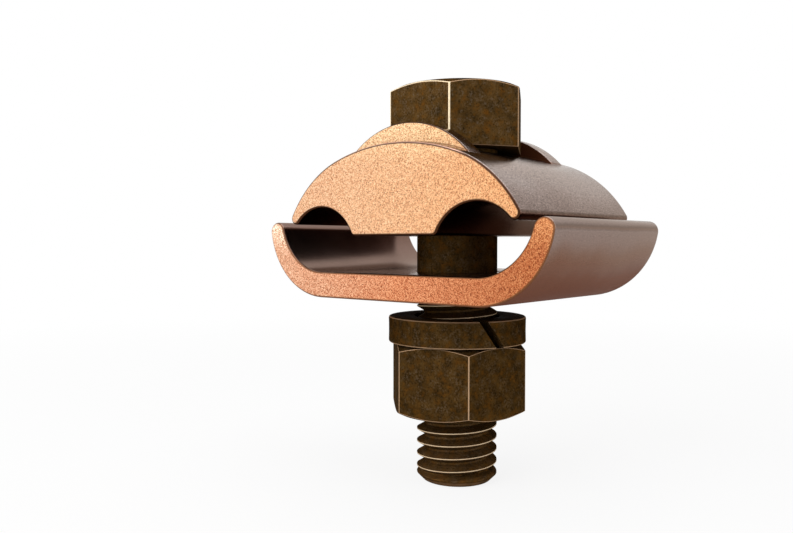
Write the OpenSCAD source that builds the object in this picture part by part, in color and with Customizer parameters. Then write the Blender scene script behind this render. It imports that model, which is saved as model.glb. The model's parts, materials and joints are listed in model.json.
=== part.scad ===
// Two-channel ground clamp: a domed cap bolted down over a curled base.
// Origin on the bolt axis in the base's mounting face, X along the channels, Z up.

/* [Castings] */
// Length of the cap and the base along the channels
clamp_len = 32; // [30:0.5:44]
// Distance between the centrelines of the two channels
channel_pitch = 29; // [28:0.1:34]
// Height of a channel, from the base's floor to the top of the cap's groove
channel_h = 9.9; // [9:0.1:11.5]

/* [Base] */
// Thickness of the base's floor
floor_t = 4; // [3:0.1:6]
// Outer radius of the base's curled sides
curl_r = 11.9; // [11:0.1:14]
// Wall of the curled sides
lip_wall = 2.9; // [2.2:0.1:3.5]
// Height of the lips over the mounting face
lip_h = 11.8; // [10.8:0.1:13.5]

/* [Cap] */
// Thickness of the cap from the top of its grooves to its crown
crown_t = 9; // [7.5:0.1:11]
// Radius of the dome over the crown
dome_r = 34; // [31:0.5:42]
// Radius of the dome's shoulders
shoulder_r = 18.8; // [17.5:0.1:20]
// How far the shoulders' full width passes the inside of the lips
shoulder_over = 0.3; // [0:0.05:0.6]
// Radius of the cap's grooves
groove_r = 7.2; // [6.6:0.05:7.6]
// Depth of the cap's toes below the top of the grooves
toe_drop = 2.5; // [1.8:0.1:3]
// Depth of the web round the bolt below the top of the grooves
web_drop = 4.4; // [3:0.1:5.4]
// Radius of the web's lower edges
web_edge_r = 0.8; // [0.4:0.1:1.4]
// Depth of the flat that the bolt's head sits on
seat_depth = 0.1; // [0.05:0.01:0.3]

/* [Crests] */
// Height of the crests over the crown
crest_h = 3.1; // [2:0.1:4.5]
// Radius of the crests' outline
crest_r = 15.4; // [13:0.1:17]
// Thickness of a crest
crest_t = 3.1; // [2:0.1:4]
// Clearance between a crest and the flat of the bolt's head
crest_clear = 0.25; // [0.1:0.05:0.6]

/* [Fasteners] */
// Diameter of the bolt
bolt_d = 12.7; // [11.5:0.1:13.4]
// Length of the bolt under its head
bolt_len = 51.7; // [46:0.1:60]
// Radial clearance of the bolt in the castings
hole_clear = 0.4; // [0.2:0.05:0.6]
// Width across the flats of the head and the nut
hex_af = 19.5; // [18:0.1:21]
// Height of the bolt's head
head_h = 9.7; // [7:0.1:11]
// Length of the chamfer on the bolt's end
end_chamfer = 1.1; // [0.8:0.05:2]
// Length of the bolt's thread, from the bolt's end
thread_len = 31.6; // [24:0.1:38]
// Pitch of the thread
thread_pitch = 1.954; // [1.5:0.001:2.5]
// Depth of the thread
thread_depth = 1.2; // [0.8:0.05:1.4]
// Depth of the thread's crests under the plain shank's surface
thread_under = 0.03; // [0.02:0.01:0.1]
// Angle round the bolt at which a crest of the thread meets the bolt's end, in degrees
thread_turn = 113; // [0:1:359]
// Inset of the chamfer circle from the flats of the head and the nut
land_inset = 0.3; // [0.1:0.05:0.8]
// Height of the nut
nut_h = 11.1; // [9:0.1:13]
// Angle of the nut round the bolt, in degrees
nut_turn = 45; // [0:1:59]
// Radial clearance of the nut on the bolt
thread_clear = 0.1; // [0.05:0.01:0.2]
// Depth of the countersinks in the nut's bore
nut_sink = 0.8; // [0.4:0.1:1.2]
// Gap between the base's mounting face and the lock washer
grip_gap = 3; // [2:0.1:8]
// Thickness of the lock washer
washer_t = 4.1; // [2.5:0.1:4.8]
// Width of the lock washer's ring
washer_w = 4.2; // [3.2:0.1:4.8]
// Radial clearance of the lock washer on the bolt
washer_clear = 0.3; // [0.2:0.05:0.5]
// Chamfer on the lock washer's edges
washer_edge = 0.3; // [0.1:0.05:0.5]
// Width of the split in the lock washer
split_w = 1.2; // [0.6:0.1:2]
// Lean of the split, in degrees
split_lean = 35; // [15:1:45]
// Angle of the split round the bolt, in degrees
split_turn = 245; // [0:1:359]

/* [Hidden] */
$fn = 96;
// Largest step of an outline's arcs, in degrees
arc_step = 2.5;
// Angle of the chamfers on the hexes
hex_chamfer = 27;
// Length by which a cut passes the faces that it opens
pass = 1;
// Straight sides in one turn of the thread
thread_sides = 20;
// Corners of the thread's section over one pitch: share of the pitch, share of the depth
thread_rows = [[-0.05, 0], [0.05, 0], [0.41, 1], [0.59, 1]];
// Turns by which the threaded rod is made too long at each end
spare_turns = 1;

cast_copper = "#d9925f";
aged_bronze = "#4d3c22";

channel_y = channel_pitch / 2;
groove_top = floor_t + channel_h;
crown_z = groove_top + crown_t;
seat_z = crown_z - seat_depth;
bolt_r = bolt_d / 2;
hole_r = bolt_r + hole_clear;

// Centres of the base's arcs
curl_c = [channel_y, curl_r];
cup_r = curl_r - lip_wall;
cup_c = [channel_y, floor_t + cup_r];

// Centres of the cap's arcs
groove_c = [channel_y, groove_top - groove_r];
dome_c = [0, crown_z - dome_r];
shoulder_y = channel_y + cup_r + shoulder_over - shoulder_r;
shoulder_rise = sqrt(pow(dome_r - shoulder_r, 2) - pow(shoulder_y, 2));
shoulder_c = [shoulder_y, dome_c[1] + shoulder_rise];
web_z = groove_top - web_drop;
web_edge_rise = web_z + web_edge_r - groove_c[1];
web_edge_c = [
    channel_y - sqrt(pow(groove_r + web_edge_r, 2) - pow(web_edge_rise, 2)),
    web_z + web_edge_r
];

crest_x = hex_af / 2 + crest_clear;
crest_top = crown_z + crest_h;
crest_foot = (groove_top + crown_z) / 2;

hex_r = hex_af / 2 / cos(30);
land_r = hex_af / 2 - land_inset;
nut_top = -grip_gap - washer_t;
washer_r = bolt_r + washer_clear;

// Direction from one point to another, in degrees
function bearing(from, to) = atan2(to[1] - from[1], to[0] - from[0]);

// Points along an arc from angle a0 up to, and without, angle a1
function arc(c, r, a0, a1) =
    let (n = ceil(abs(a1 - a0) / arc_step))
    [for (i = [0 : n - 1])
        let (a = a0 + (a1 - a0) * i / n)
        c + r * [cos(a), sin(a)]];

function reversed(list) = [for (i = [len(list) - 1 : -1 : 0]) list[i]];

// Mirror image of the right half of an outline, in the order that closes it
function mirrored(half) = [for (p = reversed(half)) [-p[0], p[1]]];

// Triangles from one point to each side of a closed line of points
function fan(hub, edge) =
    [for (j = [0 : len(edge) - 1]) [hub, edge[j], edge[(j + 1) % len(edge)]]];

// Round tip of a tapering wall: [y, z, radius] of the circle that touches the wall's
// outer arc (co, ro) and inner arc (ci, ri) and ends at a level. side is 1 for a tip
// that points down and -1 for one that points up.
function tip(co, ro, ci, ri, level, side) =
    let (
        lo = level - co[1],
        li = level - ci[1],
        grow = 2 * side * (ci[1] - co[1]) + 2 * (ro + ri),
        base = pow(co[0], 2) - pow(ci[0], 2) + pow(lo, 2) - pow(li, 2) - pow(ro, 2) + pow(ri, 2),
        a = -base / grow,
        b = -2 * (ci[0] - co[0]) / grow,
        reach = 2 * side * lo + 2 * ro,
        p = 2 * co[0] - b * reach,
        q = pow(co[0], 2) + pow(lo, 2) - pow(ro, 2) + a * reach,
        y = (p + sqrt(pow(p, 2) - 4 * q)) / 2,
        r = a + b * y
    )
    [y, level + side * r, r];

// Outline across the channels, extruded along X
module along_x(len) {
    rotate([90, 0, 90])
        linear_extrude(height = len, center = true)
            children();
}

module base_outline() {
    lip = tip(curl_c, curl_r, cup_c, cup_r, lip_h, -1);
    lip_c = [lip[0], lip[1]];
    outer = bearing(curl_c, lip_c);
    inner = bearing(cup_c, lip_c);
    half = concat(
        arc(curl_c, curl_r, -90, outer),
        arc(lip_c, lip[2], outer, inner + 180),
        arc(cup_c, cup_r, inner, -90),
        [[channel_y, floor_t]]
    );
    polygon(concat(half, mirrored(half)));
}

module cap_outline() {
    toe = tip(shoulder_c, shoulder_r, groove_c, groove_r, groove_top - toe_drop, 1);
    toe_c = [toe[0], toe[1]];
    web = bearing(web_edge_c, groove_c);
    inner = bearing(groove_c, toe_c);
    outer = bearing(shoulder_c, toe_c);
    shoulder = bearing(dome_c, shoulder_c);
    half = concat(
        arc(web_edge_c, web_edge_r, -90, web),
        arc(groove_c, groove_r, web + 180, inner),
        arc(toe_c, toe[2], inner - 180, outer),
        arc(shoulder_c, shoulder_r, outer, shoulder),
        arc(dome_c, dome_r, shoulder, 90)
    );
    polygon(concat(half, [[0, crown_z]], mirrored(half)));
}

// Upper part of a disc, which rises out of the dome beside the bolt's head
module crest_outline() {
    intersection() {
        translate([0, crest_top - crest_r])
            circle(r = crest_r);
        translate([-crest_r, crest_foot])
            square([2 * crest_r, crest_top - crest_foot + pass]);
    }
}

module bolt_hole(low, high) {
    translate([0, 0, low - pass])
        cylinder(r = hole_r, h = high - low + 2 * pass);
}

// Hex prism from z = 0 to z = h with its corners chamfered at the top
module chamfered_hex(h) {
    fall = (hex_r + pass - land_r) * tan(hex_chamfer);
    intersection() {
        cylinder(r = hex_r, h = h, $fn = 6);
        rotate_extrude()
            polygon([[0, -pass], [hex_r + pass, -pass], [hex_r + pass, h - fall], [land_r, h], [0, h]]);
    }
}

// Right-hand threaded rod whose stepped ends lie outside z = 0 to z = length
module threaded_rod(length) {
    rows = len(thread_rows);
    sides = thread_sides;
    last = rows * (ceil(length / thread_pitch) + 2 * spare_turns) - 1;
    points = [
        for (k = [0 : last], i = [0 : sides - 1])
            let (
                row = thread_rows[k % rows],
                r = bolt_r - thread_under - thread_depth * row[1],
                a = 360 * i / sides,
                turn = floor(k / rows) - spare_turns + row[0] + i / sides
            )
            [r * cos(a), r * sin(a), thread_pitch * turn]
    ];
    low = len(points);
    high = low + 1;
    // Number of a row's point; past the last one comes the first of the row one turn above
    function at(k, i) = i < sides ? k * sides + i : (k + rows) * sides;
    low_edge = concat(
        [for (i = [0 : sides]) at(0, i)],
        [for (k = [rows - 1 : -1 : 1]) at(k, 0)]
    );
    high_edge = concat(
        [for (i = [0 : sides - 1]) at(last, i)],
        [for (k = [last - 1 : -1 : last - rows]) at(k, sides - 1)]
    );
    walls = [
        for (k = [0 : last - 1], i = [0 : sides - 1])
            if (i < sides - 1 || k + 1 + rows <= last)
                [at(k, i), at(k + 1, i), at(k + 1, i + 1), at(k, i + 1)]
    ];
    polyhedron(
        points = concat(points, [[0, 0, points[0][2]], [0, 0, points[low - 1][2]]]),
        faces = concat(
            [for (w = walls) [w[0], w[1], w[2]]],
            [for (w = walls) [w[0], w[2], w[3]]],
            fan(low, low_edge),
            fan(high, reversed(high_edge))
        )
    );
}

// Lower end of the bolt, threaded, cut off flat and chamfered
module threaded_end() {
    intersection() {
        rotate(thread_turn)
            threaded_rod(thread_len);
        rotate_extrude()
            polygon([
                [0, 0],
                [bolt_r - end_chamfer, 0],
                [bolt_r + pass, end_chamfer + pass],
                [bolt_r + pass, bolt_len],
                [0, bolt_len]
            ]);
    }
}

module clamp_cap() {
    color(cast_copper)
        difference() {
            union() {
                along_x(clamp_len)
                    cap_outline();
                for (side = [-1, 1])
                    translate([side * (crest_x + crest_t / 2), 0, 0])
                        along_x(crest_t)
                            crest_outline();
            }
            bolt_hole(web_z, crown_z);
            translate([-crest_x, -dome_r, seat_z])
                cube([2 * crest_x, 2 * dome_r, crest_top]);
        }
}

module clamp_base() {
    color(cast_copper)
        difference() {
            along_x(clamp_len)
                base_outline();
            bolt_hole(0, floor_t);
        }
}

module hex_bolt() {
    color(aged_bronze)
        translate([0, 0, seat_z]) {
            rotate(30)
                chamfered_hex(head_h);
            translate([0, 0, thread_len - bolt_len])
                cylinder(r = bolt_r, h = bolt_len - thread_len + head_h / 2);
            translate([0, 0, -bolt_len])
                threaded_end();
        }
}

module lock_washer() {
    outer_r = washer_r + washer_w;
    color(aged_bronze)
        translate([0, 0, nut_top])
            difference() {
                rotate_extrude()
                    polygon([
                        [washer_r, 0],
                        [outer_r - washer_edge, 0],
                        [outer_r, washer_edge],
                        [outer_r, washer_t - washer_edge],
                        [outer_r - washer_edge, washer_t],
                        [washer_r, washer_t]
                    ]);
                rotate(split_turn)
                    translate([outer_r / 2, 0, washer_t / 2])
                        rotate([split_lean, 0, 0])
                            cube([outer_r + pass, split_w, 4 * washer_t], center = true);
            }
}

module hex_nut() {
    bore_r = bolt_r + thread_clear;
    color(aged_bronze)
        translate([0, 0, nut_top - nut_h / 2])
            rotate(nut_turn)
                difference() {
                    intersection() {
                        translate([0, 0, -nut_h / 2])
                            chamfered_hex(nut_h);
                        mirror([0, 0, 1])
                            translate([0, 0, -nut_h / 2])
                                chamfered_hex(nut_h);
                    }
                    cylinder(r = bore_r, h = nut_h + 2 * pass, center = true);
                    for (end = [0, 1])
                        mirror([0, 0, end])
                            translate([0, 0, nut_h / 2 - nut_sink])
                                cylinder(r1 = bore_r, r2 = bore_r + nut_sink + pass, h = nut_sink + pass);
                }
}

clamp_cap();
clamp_base();
hex_bolt();
lock_washer();
hex_nut();
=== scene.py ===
import json
import math
import bmesh
import bpy
import numpy as np
from mathutils import Matrix, Vector


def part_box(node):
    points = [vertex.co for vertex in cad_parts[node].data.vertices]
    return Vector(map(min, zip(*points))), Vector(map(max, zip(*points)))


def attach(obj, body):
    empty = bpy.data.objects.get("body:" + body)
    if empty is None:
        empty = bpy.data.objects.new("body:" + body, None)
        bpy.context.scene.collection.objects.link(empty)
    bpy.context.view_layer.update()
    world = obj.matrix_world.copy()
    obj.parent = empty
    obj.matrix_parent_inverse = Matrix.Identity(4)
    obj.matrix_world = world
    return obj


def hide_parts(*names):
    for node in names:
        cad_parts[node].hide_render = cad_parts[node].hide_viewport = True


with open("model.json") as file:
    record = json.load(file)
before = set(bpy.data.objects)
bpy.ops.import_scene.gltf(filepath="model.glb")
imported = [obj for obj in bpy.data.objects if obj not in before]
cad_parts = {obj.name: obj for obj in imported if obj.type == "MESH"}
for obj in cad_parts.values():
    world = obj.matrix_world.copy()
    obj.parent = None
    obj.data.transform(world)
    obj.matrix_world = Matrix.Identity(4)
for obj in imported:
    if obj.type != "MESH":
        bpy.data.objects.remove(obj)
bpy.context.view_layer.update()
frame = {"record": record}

mm = 0.001  # shapes are worked out in millimetres


def nodeBox(node):
    # lowest and highest corner of a solid, in millimetres
    low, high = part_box(node)
    return np.array(low) / mm, np.array(high) / mm


capLow, capHigh = nodeBox("clamp_cap")
baseLow, baseHigh = nodeBox("clamp_base")
boltLow, boltHigh = nodeBox("hex_bolt")
nutLow, nutHigh = nodeBox("hex_nut")
washerLow, washerHigh = nodeBox("lock_washer")
threadPitch = 2 * math.pi / abs(frame["record"]["behaviour"]["couplings"][0]["ratio"]) / mm
print("solids measured, thread pitch", round(threadPitch, 3))


# Shader maths

class Field:
    # a node's socket that can stand in a Python expression
    def __init__(self, finish, socket):
        self.finish = finish
        self.socket = socket

    def maths(self, operation, first, second):
        return self.finish.node("ShaderNodeMath", {"operation": operation}, {0: first, 1: second})

    def __add__(self, other):
        return self.maths("ADD", self, other)

    def __radd__(self, other):
        return self.maths("ADD", other, self)

    def __sub__(self, other):
        return self.maths("SUBTRACT", self, other)

    def __rsub__(self, other):
        return self.maths("SUBTRACT", other, self)

    def __mul__(self, other):
        return self.maths("MULTIPLY", self, other)

    def __rmul__(self, other):
        return self.maths("MULTIPLY", other, self)

    def __abs__(self):
        return self.maths("ABSOLUTE", self, 0.0)


class Finish:
    # the nodes of one material or world
    def __init__(self, owner):
        self.owner = owner
        owner.use_nodes = True
        self.tree = owner.node_tree
        self.tree.nodes.clear()

    def node(self, kind, settings=None, sockets=None, out=0):
        made = self.tree.nodes.new(kind)
        for key, value in (settings or {}).items():
            if key == "stops":
                self.setStops(made.color_ramp.elements, value)
            else:
                setattr(made, key, value)
        for key, value in (sockets or {}).items():
            if isinstance(value, Field):
                self.tree.links.new(value.socket, made.inputs[key])
            else:
                made.inputs[key].default_value = value
        return Field(self, made.outputs[out]) if made.outputs else None

    def setStops(self, elements, stops):
        while len(elements) > 1:
            elements.remove(elements[-1])
        elements[0].position, elements[0].color = stops[0]
        for place, colour in stops[1:]:
            elements.new(place).color = colour

    def place(self):
        # the piece's own coordinates in millimetres
        own = self.node("ShaderNodeTexCoord", out="Object")
        return self.node("ShaderNodeVectorMath", {"operation": "SCALE"}, {0: own, "Scale": 1 / mm})

    def split(self, vector):
        # the three numbers of a vector
        outputs = self.node("ShaderNodeSeparateXYZ", None, {0: vector}).socket.node.outputs
        return [Field(self, output) for output in outputs]

    def stretch(self, vector, scales):
        return self.node("ShaderNodeVectorMath", {"operation": "MULTIPLY"}, {0: vector, 1: scales})

    def length(self, vector):
        return self.node("ShaderNodeVectorMath", {"operation": "LENGTH"}, {0: vector}, out="Value")

    def noise(self, place, perMm, detail, rough):
        sockets = {"Vector": place, "Scale": perMm, "Detail": detail, "Roughness": rough}
        return self.node("ShaderNodeTexNoise", None, sockets)

    def step(self, value, low, high):
        # 0 below low, 1 above high, smooth between
        sockets = {"Value": value, "From Min": low, "From Max": high}
        return self.node("ShaderNodeMapRange", {"interpolation_type": "SMOOTHSTEP"}, sockets)

    def band(self, value, rise, fall):
        # 1 between a rise and a fall, 0 outside them
        return self.step(value, *rise) * (1 - self.step(value, *fall))

    def blend(self, share, first, second, way="MIX"):
        settings = {"data_type": "RGBA", "blend_type": way}
        return self.node("ShaderNodeMix", settings, {0: share, 6: first, 7: second}, out=2)

    def ramp(self, share, stops):
        return self.node("ShaderNodeValToRGB", {"stops": stops}, {"Fac": share})

    def bump(self, height, depth):
        return self.node("ShaderNodeBump", None, {"Height": height, "Distance": depth * mm})

    def surface(self, shader):
        self.node("ShaderNodeOutputMaterial", None, {"Surface": shader})
        return self.owner


def newFinish(name):
    return Finish(bpy.data.materials.new(name))


def seen(red, green, blue):
    # a colour as the eye reads it, 0 to 255, turned into linear light
    def linear(value):
        share = value / 255
        return share / 12.92 if share <= 0.04045 else ((share + 0.055) / 1.055) ** 2.4
    return (linear(red), linear(green), linear(blue), 1.0)


# Finishes: a noise is its scale per millimetre, detail and roughness

copper = {
    "cloudNoise": (0.12, 3.0, 0.5),
    "grainNoise": (7.6, 1.5, 0.6),
    "skinNoise": (6.6, 2.0, 0.6),
    "faceFrom": (10.8, 11.6),  # the crests' inner faces lie nearer to the middle than this
    "acrossWide": 54.0,
    "acrossRagged": 0.3,  # how far the clouds shift an edge between two shades
    "crownRagged": 4.0,
    "skinRagged": 0.12,
    "skinGrainTints": [
        (0.30, (0.27, 0.25, 0.23, 1)),
        (0.50, (0.94, 0.94, 0.94, 1)),
        (0.70, (1.55, 1.55, 1.55, 1)),
    ],
    "hollowTo": (-1.5, 0.5),
    "hollowColour": seen(112, 72, 54),
    "hollowShare": 0.5,
    "headShadeReach": (11.4, 13.6),
    "headShadeRagged": 2.2,
    "headShadeShare": 0.55,
    "headShadeColour": seen(34, 24, 18),
    "innerShadeColour": seen(82, 42, 19),
    "skinMetal": 1.0,
    "faceMetal": 0.2,
    "faceRough": 0.66,
    "roughRagged": 0.12,
    "specular": 0.3,
    "edgeTint": (0.74, 0.67, 0.62, 1.0),
    "grainDepth": 0.06,
}


def castCopper(name, look):
    finish = newFinish(name)
    place = finish.place()
    x, y, z = finish.split(place)
    leanX, leanY, leanZ = finish.split(finish.node("ShaderNodeTexCoord", out="Normal"))
    away = abs(x)
    facing = abs(leanX)
    uneven = finish.noise(place, *look["cloudNoise"]) - 0.5
    square = finish.step(facing, *look["squareFrom"])
    outside = finish.step(away, *look["faceFrom"])
    endFace = square * outside

    # blasted grain on the end faces
    grain = finish.noise(place, *look["grainNoise"])
    face = finish.ramp(grain, look["faceStops"])
    # painted light and shade across the end faces: darker towards the -Y side, paler towards +Y
    across = y * (1 / look["acrossWide"]) + 0.5 + look["acrossRagged"] * uneven
    face = finish.blend(1.0, face, finish.ramp(across, look["acrossShadeTints"]), "MULTIPLY")
    # painted light: the end faces turn paler towards the top
    crown = finish.step(z + look["crownRagged"] * uneven, *look["crownReach"])
    face = finish.blend(crown, face, look["crownLightTint"], "MULTIPLY")

    # satin skin on the curved sides, its colour partly painted light and reflection: pale where it looks up,
    # red-brown where it looks down
    skinGrain = finish.noise(place, *look["skinNoise"])
    upward = 0.5 + 0.5 * leanZ + look["skinRagged"] * uneven
    skin = finish.ramp(upward, look["skinToneAndLightStops"])
    grainTint = finish.ramp(skinGrain, look["skinGrainTints"])
    skin = finish.blend(look["skinGrainShare"], skin, grainTint, "MULTIPLY")

    # a hollow looks towards the casting's middle
    hollow = 1 - finish.step(leanY * y + leanZ * (z - look["middleZ"]), *look["hollowTo"])
    skin = finish.blend(hollow * look["hollowShare"], skin, look["hollowColour"])

    # painted shade round the bolt's head and on the crests' inner faces
    reach = finish.length(finish.stretch(place, (1.0, 1.0, 0.0)))
    headShade = 1 - finish.step(reach + look["headShadeRagged"] * uneven, *look["headShadeReach"])
    skin = finish.blend(headShade * look["headShadeShare"], skin, look["headShadeColour"])
    skin = finish.blend(square * (1 - outside), skin, look["innerShadeColour"])

    # painted shade: a dark line on the rounded edges round the end faces
    colour = finish.blend(endFace, skin, face)
    rimShade = finish.band(facing, look["rimShadeFrom"], look["rimShadeTo"]) * outside
    colour = finish.blend(rimShade * look["rimShadeShare"], colour, look["rimShadeColour"])
    if "seamShadeColour" in look:
        # a painted highlight on the rounded edge over the dome's ends
        sheen = finish.step(z, *look["sheenAbove"]) * finish.step(away, *look["sheenFrom"])
        sheen = sheen * finish.band(facing, look["sheenRise"], look["sheenFall"])
        colour = finish.blend(sheen, colour, look["sheenColour"])
        # painted shade in the corner where a crest stands on the dome
        fromAxis = {0: place, 1: (0, 1, 1), 2: (0, 0, look["domeR"] - look["crownZ"])}
        fromAxis = finish.node("ShaderNodeVectorMath", {"operation": "MULTIPLY_ADD"}, fromAxis)
        rise = finish.length(fromAxis) - look["domeR"]
        seam = finish.band(rise, look["seamFrom"], look["seamTo"])
        ledge = finish.band(away, look["ledgeFrom"], look["ledgeTo"]) * finish.step(z, *look["ledgeAbove"])
        colour = finish.blend((seam + ledge) * look["seamShadeShare"], colour, look["seamShadeColour"])

    metal = look["skinMetal"] + square * (look["faceMetal"] - look["skinMetal"])
    rough = look["skinRough"] + square * (look["faceRough"] - look["skinRough"])
    rough = rough + look["roughRagged"] * uneven
    if "underTo" in look:
        # the underside is dull
        under = (1 - finish.step(upward, *look["underTo"])) * (1 - square)
        metal = metal - under * look["underMatt"]
        rough = rough + under * look["underRough"]
    relief = grain * endFace + skinGrain * (1 - endFace) * look["skinRelief"]
    return finish.surface(finish.node("ShaderNodeBsdfPrincipled", None, {
        "Base Color": colour,
        "Metallic": metal,
        "Roughness": rough,
        "Specular IOR Level": look["specular"],
        "Specular Tint": look["edgeTint"],
        "Normal": finish.bump(relief, look["grainDepth"]),
    }))


bronze = {
    "cloudNoise": (0.6, 3.0, 0.55),
    "rustNoise": (0.85, 3.0, 0.6),
    "fineNoise": (3.5, 2.0, 0.65),
    "fineShare": 0.5,
    "rustFrom": (0.5, 0.76),
    "rustColour": seen(104, 62, 13),
    "bloomFrom": (0.45, 0.7),
    "bloomBelow": (0.40, 0.54),
    "bloomColour": seen(98, 88, 77),
    "pitBelow": (0.30, 0.42),
    "pitShare": 0.6,
    "pitColour": seen(28, 19, 8),
    "wornEven": 0.88,  # the rust makes the wear uneven
    "wornRagged": 0.24,
    "wornFrom": (0.36, 0.6),
    "wornStops": [
        (0.50, seen(124, 97, 72)),
        (0.75, seen(188, 154, 120)),
        (1.00, seen(250, 232, 196)),
    ],
    "patinaRough": 0.5,
    "roughRagged": 0.25,
    "wornRough": 0.45,
    "patinaMetal": 0.45,
    "wornMetal": 0.3,
    "specular": 0.0,
    "edgeTint": (0.12, 0.09, 0.06, 1.0),
    "rustRelief": 0.8,
    "reliefDepth": 0.035,
}


def agedBronze(name, look):
    finish = newFinish(name)
    place = finish.place()
    cloud = finish.noise(place, *look["cloudNoise"])
    rust = finish.noise(place, *look["rustNoise"])
    fine = finish.noise(place, *look["fineNoise"])
    colour = finish.ramp(cloud + look["fineShare"] * (fine - 0.5), look["patinaStops"])
    rusty = finish.step(rust, *look["rustFrom"])
    colour = finish.blend(rusty * look["rustShare"], colour, look["rustColour"])

    # grey bloom in clusters of fine specks, and dark pits
    bloom = finish.step(fine, *look["bloomFrom"]) * (1 - finish.step(rust, *look["bloomBelow"]))
    colour = finish.blend(bloom * look["bloomShare"], colour, look["bloomColour"])
    pits = 1 - finish.step(fine, *look["pitBelow"])
    colour = finish.blend(pits * look["pitShare"], colour, look["pitColour"])

    if "turnedBelow" in look:
        # turning marks below a height
        height = finish.split(place)[2]
        turned = finish.noise(finish.stretch(place, look["turnedScales"]), *look["turnedNoise"])
        turned = finish.step(turned, *look["turnedFrom"]) * (1 - finish.step(height, *look["turnedBelow"]))
        colour = finish.blend(turned * look["turnedShare"], colour, look["turnedColour"])

    # bright worn edges; on the bolt's head their brightness is partly a painted highlight
    wear = finish.node("ShaderNodeAttribute", {"attribute_name": "wear"}, None, out="Fac")
    wear = wear * (look["wornEven"] + look["wornRagged"] * rust)
    bright = finish.step(wear, *look["wornFrom"])
    colour = finish.blend(bright, colour, finish.ramp(wear, look["wornStops"]))

    rough = look["patinaRough"] + look["roughRagged"] * (cloud - 0.5)
    rough = rough + bright * (look["wornRough"] - look["patinaRough"])
    return finish.surface(finish.node("ShaderNodeBsdfPrincipled", None, {
        "Base Color": colour,
        "Metallic": look["patinaMetal"] + bright * (look["wornMetal"] - look["patinaMetal"]),
        "Roughness": rough,
        "Specular IOR Level": look["specular"],
        "Specular Tint": look["edgeTint"],
        "Normal": finish.bump(fine + look["rustRelief"] * rust, look["reliefDepth"]),
    }))


# Meshes

meshing = {
    "mergeWithin": 1e-4,  # points nearer than this become one
    "slimBelow": 1e-5,  # shorter edges are dissolved
    "sharpFrom": {"cast_copper": 24.0, "aged_bronze": 32.0},  # edges turned more, in degrees, stay sharp
    "flatShare": 0.9999,  # a casting's face this square to X is shaded flat
}


def addObject(name, data):
    made = bpy.data.objects.new(name, data)
    bpy.context.scene.collection.objects.link(made)
    return made


def solid(name, points, faces, wear=None):
    # a closed mesh with its doubled points merged and its faces turned outwards
    mesh = bpy.data.meshes.new(name)
    mesh.from_pydata([tuple(p) for p in points], [], [tuple(int(i) for i in f) for f in faces])
    if wear is not None:
        mesh.attributes.new("wear", "FLOAT", "POINT").data.foreach_set("value", wear)
    shape = bmesh.new()
    shape.from_mesh(mesh)
    bmesh.ops.remove_doubles(shape, verts=shape.verts, dist=meshing["mergeWithin"])
    bmesh.ops.dissolve_degenerate(shape, edges=shape.edges, dist=meshing["slimBelow"])
    bmesh.ops.recalc_face_normals(shape, faces=shape.faces)
    shape.to_mesh(mesh)
    shape.free()
    return addObject(name, mesh)


def stacked(name, rings, wear=None):
    # quads between rings of points, closed by a face at each end
    count = len(rings[0])
    starts = np.arange(len(rings)) * count
    after = np.roll(np.arange(count), -1)
    faces = [
        (a + i, a + after[i], b + after[i], b + i)
        for a, b in zip(starts[:-1], starts[1:])
        for i in range(count)
    ]
    faces.append(tuple(range(count)))
    faces.append(tuple(starts[-1] + np.arange(count)))
    return solid(name, np.concatenate(rings), faces, wear)


def levelRing(points, z):
    return np.column_stack([points, np.full(len(points), z)])


def turnedTool(name, profile, sides):
    # a solid of revolution about Z, from radii and heights
    turn = np.linspace(0, 2 * np.pi, sides, endpoint=False)
    ray = np.stack([np.cos(turn), np.sin(turn)], 1)
    return stacked(name, [levelRing(r * ray, z) for r, z in profile])


def blockTool(name, low, high):
    corners = np.array([(low[0], low[1]), (high[0], low[1]), (high[0], high[1]), (low[0], high[1])])
    return stacked(name, [levelRing(corners, z) for z in (low[2], high[2])])


def combine(piece, tool, operation):
    change = piece.modifiers.new(tool.name, "BOOLEAN")
    change.operation = operation
    change.object = tool
    change.solver = "EXACT"
    made = bpy.data.meshes.new_from_object(piece.evaluated_get(bpy.context.evaluated_depsgraph_get()))
    piece.modifiers.clear()
    piece.data = made
    bpy.data.objects.remove(tool)


def dress(piece, node, body, slot, material):
    # scale to metres, shade, paint, hide the piece's solid, and tie the piece to its body
    mesh = piece.data
    mesh.transform(Matrix.Scale(mm, 4))
    mesh.shade_smooth()
    mesh.set_sharp_from_angle(angle=math.radians(meshing["sharpFrom"][slot]))
    if slot == "cast_copper":
        for face in mesh.polygons:
            face.use_smooth = abs(face.normal.x) < meshing["flatShare"]
    mesh.materials.clear()
    mesh.materials.append(material)
    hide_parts(node)
    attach(piece, body)
    print("made", piece.name, len(mesh.polygons), "faces")


# The two castings: outlines of tangent arcs, drawn along X

clamp = {
    "channelPitch": 29.0,
    "floorThick": 4.0,
    "curlR": 11.9,
    "lipWall": 2.9,
    "holeR": 6.75,
    "holeChamfer": 0.25,
    "holeSides": 96,
    "overcut": 2.0,  # a cutting tool reaches this far past a face
    "arcStep": 2.0,  # degrees
    "edgeRows": 6,  # rows of points over a rounded edge
    "middleWithin": 1e-6,  # a point this near to the middle has no mirror image
}

channelY = clamp["channelPitch"] / 2
clampLength = capHigh[0] - capLow[0]


def bearing(start, end):
    return math.degrees(math.atan2(end[1] - start[1], end[0] - start[0]))


def arc(centre, radius, start, end, side=1):
    # points of an arc without its last one, and their normals; side is -1 on a hollow arc
    count = math.ceil(abs(end - start) / clamp["arcStep"])
    turn = np.radians(start + (end - start) * np.arange(count) / count)
    ray = np.stack([np.cos(turn), np.sin(turn)], 1)
    return np.array(centre) + radius * ray, side * ray


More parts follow.
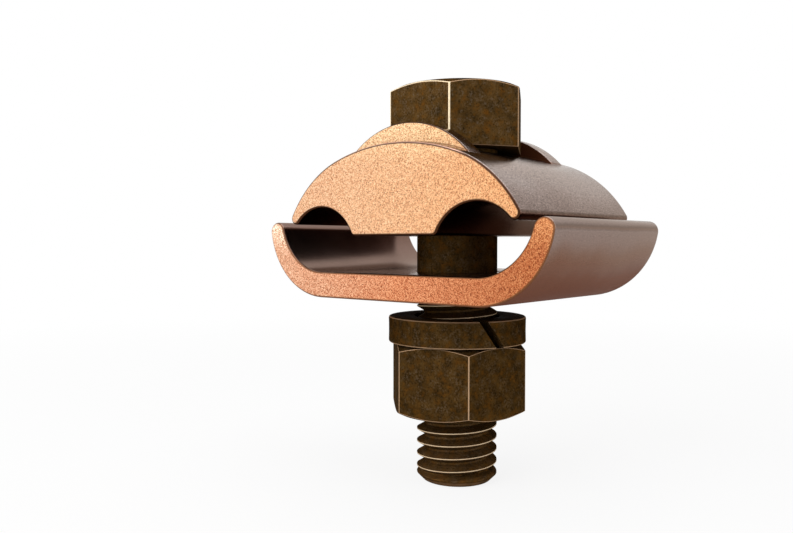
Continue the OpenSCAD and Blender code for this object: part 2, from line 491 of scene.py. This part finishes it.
def roundTip(outer, outerR, inner, innerR, level, side):
    # circle between a wall's outer and inner arcs that ends at a level; side is 1 for a tip that points down
    up = level - outer[1]
    upInner = level - inner[1]
    grow = 2 * side * (inner[1] - outer[1]) + 2 * (outerR + innerR)
    known = outer[0] ** 2 - inner[0] ** 2 + up ** 2 - upInner ** 2 - outerR ** 2 + innerR ** 2
    fixed = -known / grow
    slope = -2 * (inner[0] - outer[0]) / grow
    reach = 2 * side * up + 2 * outerR
    half = outer[0] - slope * reach / 2
    across = half + math.sqrt(half ** 2 - outer[0] ** 2 - up ** 2 + outerR ** 2 - fixed * reach)
    radius = fixed + slope * across
    return (across, level + side * radius), radius


def mirrored(arcs, last):
    # a right half that ends in a last point, and its mirror image
    points = np.concatenate([a[0] for a in arcs] + [[last]])
    normals = np.concatenate([a[1] for a in arcs] + [[(0, 1)]])
    flip = np.array([-1, 1])
    aside = points[:, 0] > clamp["middleWithin"]
    left = points[aside][::-1] * flip
    leftNormals = normals[aside][::-1] * flip
    return np.concatenate([points, left]), np.concatenate([normals, leftNormals])


def loft(name, outline, middle, length, edge):
    # an outline drawn along X, with the edges of its two ends rounded
    points, normals = outline
    lean = np.radians(np.linspace(90, 0, clamp["edgeRows"]))
    out = length / 2 - edge + edge * np.sin(lean)
    inset = edge * (1 - np.cos(lean))
    places = np.concatenate([-out, out[::-1]]) + middle
    insets = np.concatenate([inset, inset[::-1]])
    rings = []
    for place, drop in zip(places, insets):
        ring = points - drop * normals
        rings.append(np.column_stack([np.full(len(ring), place), ring]))
    return stacked(name, rings)


def cutHole(piece, low, high, chamferTop):
    # the bolt's hole, with a small chamfer at its lower edge and, if wanted, at its upper one
    holeR = clamp["holeR"]
    soft = clamp["holeChamfer"]
    past = clamp["overcut"]
    wide = holeR + soft + past
    profile = [(wide, low - past), (holeR, low + soft)]
    if chamferTop:
        profile += [(holeR, high - soft), (wide, high + past)]
    else:
        profile.append((holeR, high))
    combine(piece, turnedTool("hole", profile, clamp["holeSides"]), "DIFFERENCE")


baseCasting = {
    "endEdge": 0.38,  # rounding of the end faces' edges
    "middleZ": 11.9,
    # the end faces' grain, darker and redder than the cap's: partly painted shade
    "faceStops": [
        (0.27, seen(62, 30, 16)),
        (0.41, seen(186, 108, 66)),
        (0.51, seen(226, 154, 112)),
        (0.68, seen(252, 204, 160)),
    ],
    # painted light: from the darker right lip to the paler left one
    "acrossShadeTints": [
        (0.04, (0.67, 0.45, 0.28, 1)),
        (0.5, (0.95, 0.79, 0.69, 1)),
        (0.9, (1.06, 1.23, 1.45, 1)),
    ],
    "crownReach": (6.6, 11.4),
    "crownLightTint": (1.4, 1.85, 2.2, 1),
    # from what looks down to what looks up
    "skinToneAndLightStops": [
        (0.02, seen(102, 54, 32)),
        (0.16, seen(114, 67, 44)),
        (0.24, seen(121, 84, 67)),
        (0.30, seen(130, 103, 91)),
        (0.36, seen(141, 121, 113)),
        (0.43, seen(143, 126, 119)),
        (0.49, seen(130, 113, 106)),
        (0.56, seen(130, 109, 98)),
        (0.65, seen(117, 101, 93)),
        (0.80, seen(149, 133, 127)),
        (0.92, seen(158, 144, 138)),
    ],
    "underTo": (0.06, 0.3),
    "underMatt": 0.95,
    "underRough": 0.6,
    "skinGrainShare": 0.3,
    "skinRelief": 0.045,
    "skinRough": 0.2,
    "squareFrom": (0.62, 0.9),  # how square to X a face is when it is blasted
    "rimShadeFrom": (0.45, 0.68),  # how square to X the dark line begins and ends
    "rimShadeTo": (0.92, 0.99),
    "rimShadeShare": 0.85,
    "rimShadeColour": seen(118, 74, 42),
}


def baseOutline():
    curlR = clamp["curlR"]
    cupR = curlR - clamp["lipWall"]
    curl = (channelY, curlR)
    cup = (channelY, clamp["floorThick"] + cupR)
    lip, lipR = roundTip(curl, curlR, cup, cupR, baseHigh[2], -1)
    outer = bearing(curl, lip)
    inner = bearing(cup, lip)
    arcs = [
        arc(curl, curlR, -90, outer),
        arc(lip, lipR, outer, inner + 180),
        arc(cup, cupR, inner, -90, -1),
    ]
    return mirrored(arcs, (channelY, clamp["floorThick"]))


def makeBase():
    piece = loft("baseCasting", baseOutline(), 0, clampLength, baseCasting["endEdge"])
    cutHole(piece, baseLow[2], clamp["floorThick"], True)
    dress(piece, "clamp_base", "base", "cast_copper", castCopper("castCopperBase", copper | baseCasting))


capCasting = {
    "grooveTop": 13.9,
    "grooveR": 7.2,
    "toeDrop": 2.5,
    "crownZ": 22.9,
    "seatZ": 22.8,
    "seatReach": 8.0,
    "domeR": 34.0,
    "shoulderR": 18.8,
    "shoulderOver": 0.3,
    "webEdgeR": 0.8,
    "crestR": 15.4,
    "crestThick": 3.1,
    "crestInside": 10.0,  # a crest's inner face, from the middle
    "crestFoot": 18.4,
    "crestEdge": 0.22,
    "endEdge": 0.44,
    "middleZ": 10.0,
    "faceStops": [
        (0.27, seen(70, 38, 22)),
        (0.41, seen(206, 140, 96)),
        (0.51, seen(240, 187, 140)),
        (0.68, seen(255, 226, 184)),
    ],
    "acrossShadeTints": [
        (0.08, (0.95, 0.80, 0.63, 1)),
        (0.5, (0.98, 0.94, 0.92, 1)),
        (0.9, (0.98, 0.98, 1.05, 1)),
    ],
    "crownReach": (19.0, 25.0),
    "crownLightTint": (1.16, 1.34, 1.38, 1),
    "skinToneAndLightStops": [
        (0.02, seen(62, 34, 22)),
        (0.22, seen(84, 48, 33)),
        (0.42, seen(100, 76, 65)),
        (0.62, seen(105, 89, 80)),
        (0.74, seen(137, 121, 115)),
        (0.78, seen(148, 133, 127)),
        (0.82, seen(162, 148, 143)),
        (0.86, seen(174, 163, 159)),
        (0.92, seen(184, 173, 169)),
    ],
    "skinGrainShare": 1.0,
    "skinRelief": 0.36,
    "skinRough": 0.13,
    "squareFrom": (0.86, 0.97),
    "rimShadeFrom": (0.35, 0.62),
    "rimShadeTo": (0.93, 0.99),
    "rimShadeShare": 0.96,
    "rimShadeColour": seen(70, 42, 24),
    "sheenFrom": (14.6, 14.9),
    "sheenAbove": (20.1, 21.1),
    "sheenRise": (0.05, 0.2),  # how square to X the painted highlight begins and ends
    "sheenFall": (0.72, 0.86),
    "sheenColour": seen(218, 178, 160),
    "seamFrom": (0.02, 0.1),  # height over the dome
    "seamTo": (0.1, 0.3),
    "ledgeFrom": (13.1, 13.15),
    "ledgeTo": (13.3, 14.9),
    "ledgeAbove": (20.6, 21.4),
    "seamShadeShare": 0.75,
    "seamShadeColour": seen(96, 58, 34),
}


def capOutline():
    shape = capCasting
    grooveR = shape["grooveR"]
    groove = (channelY, shape["grooveTop"] - grooveR)
    domeR = shape["domeR"]
    dome = (0, shape["crownZ"] - domeR)
    shoulderR = shape["shoulderR"]
    shoulderY = channelY + clamp["curlR"] - clamp["lipWall"] + shape["shoulderOver"] - shoulderR
    shoulder = (shoulderY, dome[1] + math.sqrt((domeR - shoulderR) ** 2 - shoulderY ** 2))
    edgeR = shape["webEdgeR"]
    edgeZ = capLow[2] + edgeR
    edge = (channelY - math.sqrt((grooveR + edgeR) ** 2 - (edgeZ - groove[1]) ** 2), edgeZ)
    toe, toeR = roundTip(shoulder, shoulderR, groove, grooveR, shape["grooveTop"] - shape["toeDrop"], 1)
    web = bearing(edge, groove)
    inner = bearing(groove, toe)
    outer = bearing(shoulder, toe)
    turn = bearing(dome, shoulder)
    arcs = [
        arc(edge, edgeR, -90, web),
        arc(groove, grooveR, web + 180, inner, -1),
        arc(toe, toeR, inner - 180, outer),
        arc(shoulder, shoulderR, outer, turn),
        arc(dome, domeR, turn, 90),
    ]
    return mirrored(arcs, (0, shape["crownZ"]))


def crestOutline():
    crestR = capCasting["crestR"]
    crest = (0, capHigh[2] - crestR)
    start = math.degrees(math.asin((capCasting["crestFoot"] - crest[1]) / crestR))
    return arc(crest, crestR, start, 180 - start)


def makeCap():
    shape = capCasting
    piece = loft("capCasting", capOutline(), 0, clampLength, shape["endEdge"])
    inside = shape["crestInside"]
    away = inside + shape["crestThick"] / 2
    for side in (-1, 1):
        crest = loft("crest", crestOutline(), side * away, shape["crestThick"], shape["crestEdge"])
        combine(piece, crest, "UNION")
    reach = shape["seatReach"]
    over = capHigh[2] + clamp["overcut"]
    seat = blockTool("seat", (-inside, -reach, shape["seatZ"]), (inside, reach, over))
    combine(piece, seat, "DIFFERENCE")
    cutHole(piece, capLow[2], capHigh[2], False)
    dress(piece, "clamp_cap", "cap", "cast_copper", castCopper("castCopperCap", copper | capCasting))


makeBase()
makeCap()


# The fasteners: rings round the bolt's axis, with how worn each point is

thread = {
    "majorR": 6.35,
    "depth": 1.18,
    "crestAt": -20.5,  # height of a crest on the near side
    "nearTurn": 220.5,
    "crestShare": 0.05,  # half of a crest, as a share of the pitch
    "flankShare": 0.36,
    "wornShare": 0.034,
    "wornFade": 0.016,
    "halfShares": (0, 0.03, 0.05, 0.075, 0.11, 0.2, 0.3, 0.38, 0.42, 0.5),
    "clear": 0.06,  # between the nut's thread and the bolt's
    "nutLess": 0.12,  # the nut's thread is this much shallower
}

crestZ = thread["crestAt"] - threadPitch * thread["nearTurn"] / 360


class Shell:
    def __init__(self, turns):
        self.turns = turns
        self.points = []
        self.wear = []
        self.faces = []

    def ring(self, radius, z, wear):
        start = len(self.points)
        radius, z, wear = np.broadcast_arrays(radius, z, wear, self.turns)[:3]
        self.points += list(np.stack([radius * np.cos(self.turns), radius * np.sin(self.turns), z], 1))
        self.wear += list(wear)
        return start + np.arange(len(self.turns))

    def strip(self, rows):
        # quads between each ring and the next
        for low, high in zip(rows[:-1], rows[1:]):
            self.faces += [(low[i - 1], low[i], high[i], high[i - 1]) for i in range(len(low))]

    def fan(self, ring, z):
        # faces from a ring to a point on the axis
        centre = len(self.points)
        self.points.append((0, 0, z))
        self.wear.append(0.0)
        self.faces += [(ring[i - 1], ring[i], centre) for i in range(len(ring))]

    def helix(self, low, high, radiusAt, wearAt):
        # thread rows that climb one pitch a turn, cut off flat at both ends; gives the lowest row
        lap = self.turns / (2 * np.pi)
        first = math.floor((low - crestZ) / threadPitch - lap.max()) - 1
        last = math.ceil((high - crestZ) / threadPitch - lap.min()) + 1
        shares = list(thread["halfShares"]) + [1 - s for s in thread["halfShares"][-2:0:-1]]
        rows = []
        for turn in range(first, last):
            for share in shares:
                z = np.clip(crestZ + threadPitch * (turn + share + lap), low, high)
                phase = (z - crestZ) / threadPitch - lap
                off = abs(phase - np.round(phase))
                depth = np.clip((off - thread["crestShare"]) / thread["flankShare"], 0, 1)
                worn = 1 - np.clip((off - thread["wornShare"]) / thread["wornFade"], 0, 1)
                rows.append(self.ring(radiusAt(depth, z), z, wearAt(worn, z)))
        # the last column joins the first one a pitch higher
        seam = len(self.turns) - 1
        up = len(shares)
        for k in range(len(rows) - 1):
            a, b = rows[k], rows[k + 1]
            self.faces += [(a[i], a[i + 1], b[i + 1], b[i]) for i in range(seam)]
            if k + up + 1 < len(rows):
                self.faces.append((a[seam], rows[k + up][0], rows[k + up + 1][0], b[seam]))
        return rows[0]


hexes = {
    "acrossFlats": 19.5,
    "landInset": 0.3,
    "flatSteps": (-1, -0.95, -0.8, -0.6, -0.4, -0.2, 0, 0.2, 0.4, 0.6, 0.8, 0.95, 1),
    "cornerSteps": 4,
    "guard": 0.2,  # rows this far from a rounded edge keep the flats flat
    "chamferLean": 27.0,
    "arcShares": (0.3, 1.0, 1.0, 0.3),  # wear over the rounded edge of a chamfer
    "cornerShares": (1.0, 1.0, 0.9, 0.0),  # and how much of a corner's wear is left there
    "landShares": (0.3, 0.8, 0.0),
}


def hexColumns(shape):
    # directions round a hex with rounded corners, its radius there, and wear on its corners and end arcs
    flat = hexes["acrossFlats"] / 2
    corner = shape["cornerR"]
    along = (flat - corner) * math.tan(math.radians(30)) * np.array(hexes["flatSteps"])
    hub = (flat - corner) / math.cos(math.radians(30))
    swing = np.radians(np.linspace(-30, 30, hexes["cornerSteps"] + 2)[1:-1])
    cornerX = hub + corner * np.cos(swing)
    cornerY = corner * np.sin(swing)
    sideTurns = np.concatenate([np.arctan2(along, flat), math.radians(30) + np.arctan2(cornerY, cornerX)])
    sideR = np.concatenate([np.hypot(along, flat), np.hypot(cornerX, cornerY)])
    onCorner = np.concatenate([np.zeros(len(along)), np.ones(len(cornerX))])
    turns = np.concatenate([sideTurns + math.radians(shape["flatTurn"] + 60 * k) for k in range(6)])
    cornerWearAndLight = np.outer(shape["cornerWearAndLight"], onCorner).ravel()
    arcWearAndLight = np.repeat(shape["arcWearAndLight"], len(onCorner))
    return turns, np.tile(sideR, 6), cornerWearAndLight, arcWearAndLight


def chamferRows(shape, radius, corner, arcs, z, up):
    # radius, height and wear of the rows from a flat over the chamfer to the end face
    landR = hexes["acrossFlats"] / 2 - hexes["landInset"]
    lean = hexes["chamferLean"]
    edge = shape["arcEdgeR"]
    crease = z - up * ((radius - landR) + edge) * math.tan(math.radians(lean))
    rows = [(radius, crease - up * hexes["guard"], corner)]
    turns = np.radians(np.linspace(0, 90 - lean, len(hexes["arcShares"])))
    for turn, share, keep in zip(turns, hexes["arcShares"], hexes["cornerShares"]):
        r = radius - edge + edge * np.cos(turn)
        rows.append((r, crease + up * edge * np.sin(turn), np.maximum(keep * corner, share * arcs)))
    soft = shape["landEdgeR"]
    hub = landR - soft * math.tan(math.radians(lean / 2))
    for turn, share in zip(np.radians((90 - lean, 90 - lean / 2, 90)), hexes["landShares"]):
        height = z - up * soft * (1 - np.sin(turn))
        rows.append((hub + soft * np.cos(turn), height, share * arcs))
    return rows


hexBolt = {
    "flatTurn": 0.0,  # direction of one of the head's flats
    "cornerR": 0.38,
    "cornerWearAndLight": (0.8, 0.75, 1.0, 1.0, 0.72, 0.7),  # wear and painted highlight round the corners, from the first flat on; highest on the corners towards -X, where the key lamp shines
    "arcEdgeR": 0.26,
    "arcWearAndLight": (0.7, 0.75, 0.8, 1.05, 0.68, 0.7),  # and round the sides, highest on the side towards -X
    "landEdgeR": 0.2,
    "topRing": 0.5,  # a ring on the head's top, as a share of the thread's radius
    "underEdgeR": 0.14,
    "underLeans": (-90, -60, -30, 0),
    "underShares": (0.3, 1.0, 1.0, 0.3),
    "underWear": 0.66,
    "runoutTop": 3.2,
    "runoutLength": 2.4,
    "crestWear": 0.86,
    "tipR": 5.4,
    "tipInnerR": 5.0,
    "tipPlain": 1.1,  # the thread starts this far above the end
    "tipFade": 0.7,
    "tipWear": 0.5,
    "tipWearFade": 0.25,
    "shadeBelowNut": 1.5,  # the thread's crests aren't bright inside the nut, and this far below it painted shade keeps them dark
    "patinaStops": [
        (0.28, seen(53, 39, 19)),
        (0.44, seen(69, 50, 24)),
        (0.58, seen(80, 58, 29)),
        (0.74, seen(92, 68, 36)),
    ],
    "rustShare": 0.56,
    "bloomShare": 0.46,
    "turnedBelow": (1.2, 3.0),
    "turnedScales": (0.7, 0.7, 9.0),
    "turnedNoise": (1.0, 2.0, 0.6),
    "turnedFrom": (0.35, 0.65),
    "turnedShare": 0.5,
    "turnedColour": seen(88, 62, 38),
}


def makeBolt():
    shape = hexBolt
    turns, radius, corner, arcs = hexColumns(shape)
    shell = Shell(turns)
    endZ = boltLow[2]
    majorR = thread["majorR"]
    tipR = shape["tipR"]
    tipTop = endZ + majorR - tipR
    top = shape["runoutTop"]

    def shankRadius(depth, z):
        fade = np.clip((top - z) / shape["runoutLength"], 0, 1)
        fade = fade * np.clip((z - endZ - shape["tipPlain"]) / shape["tipFade"], 0, 1)
        return np.minimum(majorR - depth * thread["depth"] * fade, tipR + z - endZ)

    def shankWear(worn, z):
        live = (z > tipTop) & (z < top - shape["runoutLength"])
        live &= (z < nutLow[2] - shape["shadeBelowNut"]) | (z > nutHigh[2])
        tipWear = shape["tipWear"] * np.clip((tipTop - z) / shape["tipWearFade"], 0, 1)
        return np.maximum(worn * live * shape["crestWear"], tipWear)

    tip = shell.helix(endZ, top, shankRadius, shankWear)
    inner = shell.ring(shape["tipInnerR"], endZ, 0.0)
    shell.strip([tip, inner])
    shell.fan(inner, endZ)

    underZ = capCasting["seatZ"]
    under = shape["underEdgeR"]
    rows = [
        (majorR, top, 0.0),
        (majorR, underZ, 0.0),
        (radius - under - hexes["guard"], underZ, 0.0),
    ]
    for lean, share in zip(np.radians(shape["underLeans"]), shape["underShares"]):
        r = radius - under + under * np.cos(lean)
        height = underZ + under + under * np.sin(lean)
        rows.append((r, height, np.maximum(corner, share * shape["underWear"])))
    rows.append((radius, underZ + under + hexes["guard"], corner))
    rows += chamferRows(shape, radius, corner, arcs, boltHigh[2], 1)
    rows.append((shape["topRing"] * majorR, boltHigh[2], 0.0))
    rings = [shell.ring(*row) for row in rows]
    shell.strip(rings)
    shell.fan(rings[-1], boltHigh[2])
    piece = solid("hexBolt", shell.points, shell.faces, shell.wear)
    dress(piece, "hex_bolt", "bolt", "aged_bronze", agedBronze("agedBronzeBolt", bronze | shape))


hexNut = {
    # the nut's patina and bright edges are darker than the bolt's: painted shade
    "flatTurn": 15.0,
    "cornerR": 0.28,
    "cornerWearAndLight": (0.7, 0.66, 0.72, 0.74, 0.7, 0.68),
    "arcEdgeR": 0.18,
    "arcWearAndLight": (0.66, 0.62, 0.66, 0.7, 0.68, 0.64),
    "landEdgeR": 0.2,
    "sinkR": 7.25,
    "patinaStops": [
        (0.28, seen(46, 33, 14)),
        (0.44, seen(60, 42, 18)),
        (0.58, seen(70, 50, 23)),
        (0.74, seen(82, 59, 28)),
    ],
    "rustShare": 0.42,
    "bloomShare": 0.34,
}


def makeNut(material):
    shape = hexNut
    turns, radius, corner, arcs = hexColumns(shape)
    shell = Shell(turns)
    low, high = nutLow[2], nutHigh[2]
    sinkR = shape["sinkR"]

    def boreRadius(depth, z):
        grooved = thread["majorR"] + thread["clear"] - depth * (thread["depth"] - thread["nutLess"])
        return np.maximum(grooved, sinkR - np.minimum(z - low, high - z))

    def boreWear(worn, z):
        return 0.0

    shell.helix(low, high, boreRadius, boreWear)
    rows = [(sinkR, low, 0.0)]
    rows += chamferRows(shape, radius, corner, arcs, low, -1)[::-1]
    rows += chamferRows(shape, radius, corner, arcs, high, 1)
    rows.append((sinkR, high, 0.0))
    shell.strip([shell.ring(*row) for row in rows])
    piece = solid("hexNut", shell.points, shell.faces, shell.wear)
    dress(piece, "hex_nut", "nut", "aged_bronze", material)


lockWasher = {
    "insideR": 6.65,
    "outsideR": 10.85,
    "edgeR": 0.3,
    "edgeLeans": (0, 30, 60, 90),
    "edgeShares": (0.2, 1.0, 1.0, 0.2),
    "edgeWear": 0.66,
    "splitWide": 1.2,
    "splitLean": 35.0,
    "splitTurn": 245.0,
    "stations": 96,
    "endInset": 0.15,
}


def washerSection():
    # radius and height of the points round a section, their wear, and the section's middle
    shape = lockWasher
    low, high = washerLow[2], washerHigh[2]
    edge = shape["edgeR"]
    middle = np.array([(shape["insideR"] + shape["outsideR"]) / 2, (low + high) / 2])
    corners = [
        (shape["outsideR"], low, -90),
        (shape["outsideR"], high, 0),
        (shape["insideR"], high, 90),
        (shape["insideR"], low, 180),
    ]
    section = []
    wear = []
    for r, z, start in corners:
        corner = np.array([r, z])
        hub = corner - np.copysign(edge, corner - middle)
        for lean, share in zip(shape["edgeLeans"], shape["edgeShares"]):
            turn = math.radians(start + lean)
            section.append(hub + edge * np.array([math.cos(turn), math.sin(turn)]))
            wear.append(share * shape["edgeWear"] if r > middle[0] else 0.0)
    return np.array(section), wear, middle


def makeWasher(material):
    shape = lockWasher
    section, wear, middle = washerSection()
    radius, height = section.T
    lean = math.radians(shape["splitLean"])
    halfGap = shape["splitWide"] / 2 / math.cos(lean)
    slant = -(height - middle[1]) * math.tan(lean)
    start = np.arcsin((slant + halfGap) / radius)
    end = 2 * np.pi + np.arcsin((slant - halfGap) / radius)
    shares = np.linspace(0, 1, shape["stations"])
    rings = []
    for share in np.concatenate([[0], shares, [1]]):
        turn = math.radians(shape["splitTurn"]) + start + share * (end - start)
        rings.append(np.stack([radius * np.cos(turn), radius * np.sin(turn), height], 1))
    # the two cut ends have a small soft edge
    for k in (0, -1):
        centre = rings[k].mean(0)
        rings[k] = centre + (rings[k] - centre) * (1 - shape["endInset"] / np.ptp(height))
    piece = stacked("lockWasher", rings, np.tile(wear, len(rings)))
    dress(piece, "lock_washer", "nut", "aged_bronze", material)


makeBolt()
nutBronze = agedBronze("agedBronzeNut", bronze | hexNut)
makeNut(nutBronze)
makeWasher(nutBronze)


# Camera, floor and light

view = {
    "place": (-99.644, -72.599, 8.594),
    "yaw": 40.553,
    "pitch": 1.798,  # downwards
    "lens": 35.14,
    "sensor": 36.0,
    "clip": (0.005, 50.0),
}

studio = {
    "white": (1.0, 1.0, 1.0, 1.0),
    "floorWide": 4.0,
    "floorColour": (0.9, 0.9, 0.9, 1.0),
    "floorGlow": 0.86,
    "fadeReach": (0.08, 0.3),  # the floor turns plain white between these distances
    "floorBelow": 0.02,  # under the bolt's end, in millimetres
    "ambient": 0.42,
    "lamps": [
        # name, place, size, power
        ("keyLamp", (-0.46, 0.1, 0.3), 0.45, 2.0),
        ("topLamp", (0.02, -0.08, 0.5), 0.5, 0.9),
        ("sideLamp", (0.1, -0.5, 0.2), 0.4, 0.35),
    ],
}


def makeCamera():
    yaw = math.radians(view["yaw"])
    pitch = math.radians(view["pitch"])
    forward = Vector((math.cos(pitch) * math.cos(yaw), math.cos(pitch) * math.sin(yaw), -math.sin(pitch)))
    right = Vector((math.sin(yaw), -math.cos(yaw), 0))
    up = right.cross(forward)
    lens = bpy.data.cameras.new("camera")
    lens.lens = view["lens"]
    lens.sensor_width = view["sensor"]
    lens.clip_start, lens.clip_end = view["clip"]
    camera = addObject("camera", lens)
    turned = Matrix((right, up, -forward)).transposed().to_4x4()
    camera.matrix_world = Matrix.Translation(Vector(view["place"]) * mm) @ turned
    bpy.context.scene.camera = camera


def seenDirectly(finish):
    # 1 for what the camera, a reflection or glass sees
    rays = [finish.node("ShaderNodeLightPath", out=f"Is {kind} Ray")
            for kind in ("Camera", "Glossy", "Transmission")]
    return finish.step(rays[0] + rays[1] + rays[2], 0.0, 1.0)


def makeFloor():
    finish = newFinish("paleFloor")
    far = finish.step(finish.length(finish.node("ShaderNodeTexCoord", out="Object")), *studio["fadeReach"])
    glowShare = studio["floorGlow"] + (1 - studio["floorGlow"]) * far
    matt = finish.node("ShaderNodeBsdfDiffuse", None, {"Color": studio["floorColour"]})
    glow = finish.node("ShaderNodeEmission", None, {"Color": studio["white"], "Strength": 1.0})
    sockets = {0: seenDirectly(finish) * glowShare, 1: matt, 2: glow}
    finish.surface(finish.node("ShaderNodeMixShader", None, sockets))
    half = studio["floorWide"] / 2
    corners = [(-half, -half, 0), (half, -half, 0), (half, half, 0), (-half, half, 0)]
    mesh = bpy.data.meshes.new("floor")
    mesh.from_pydata(corners, [], [(0, 1, 2, 3)])
    mesh.materials.append(finish.owner)
    floor = addObject("floor", mesh)
    floor.location.z = (boltLow[2] - studio["floorBelow"]) * mm


def makeLight():
    world = bpy.data.worlds.new("studio")
    bpy.context.scene.world = world
    finish = Finish(world)
    strength = studio["ambient"] + seenDirectly(finish) * (1 - studio["ambient"])
    sky = finish.node("ShaderNodeBackground", None, {"Color": studio["white"], "Strength": strength})
    finish.node("ShaderNodeOutputWorld", None, {"Surface": sky})
    for name, place, size, power in studio["lamps"]:
        lamp = bpy.data.lights.new(name, "AREA")
        lamp.size = size
        lamp.energy = power
        piece = addObject(name, lamp)
        piece.location = place
        piece.rotation_euler = (-Vector(place)).to_track_quat("-Z", "Y").to_euler()


makeCamera()
makeFloor()
makeLight()
bpy.context.scene.view_settings.view_transform = "Standard"
print("stage set")
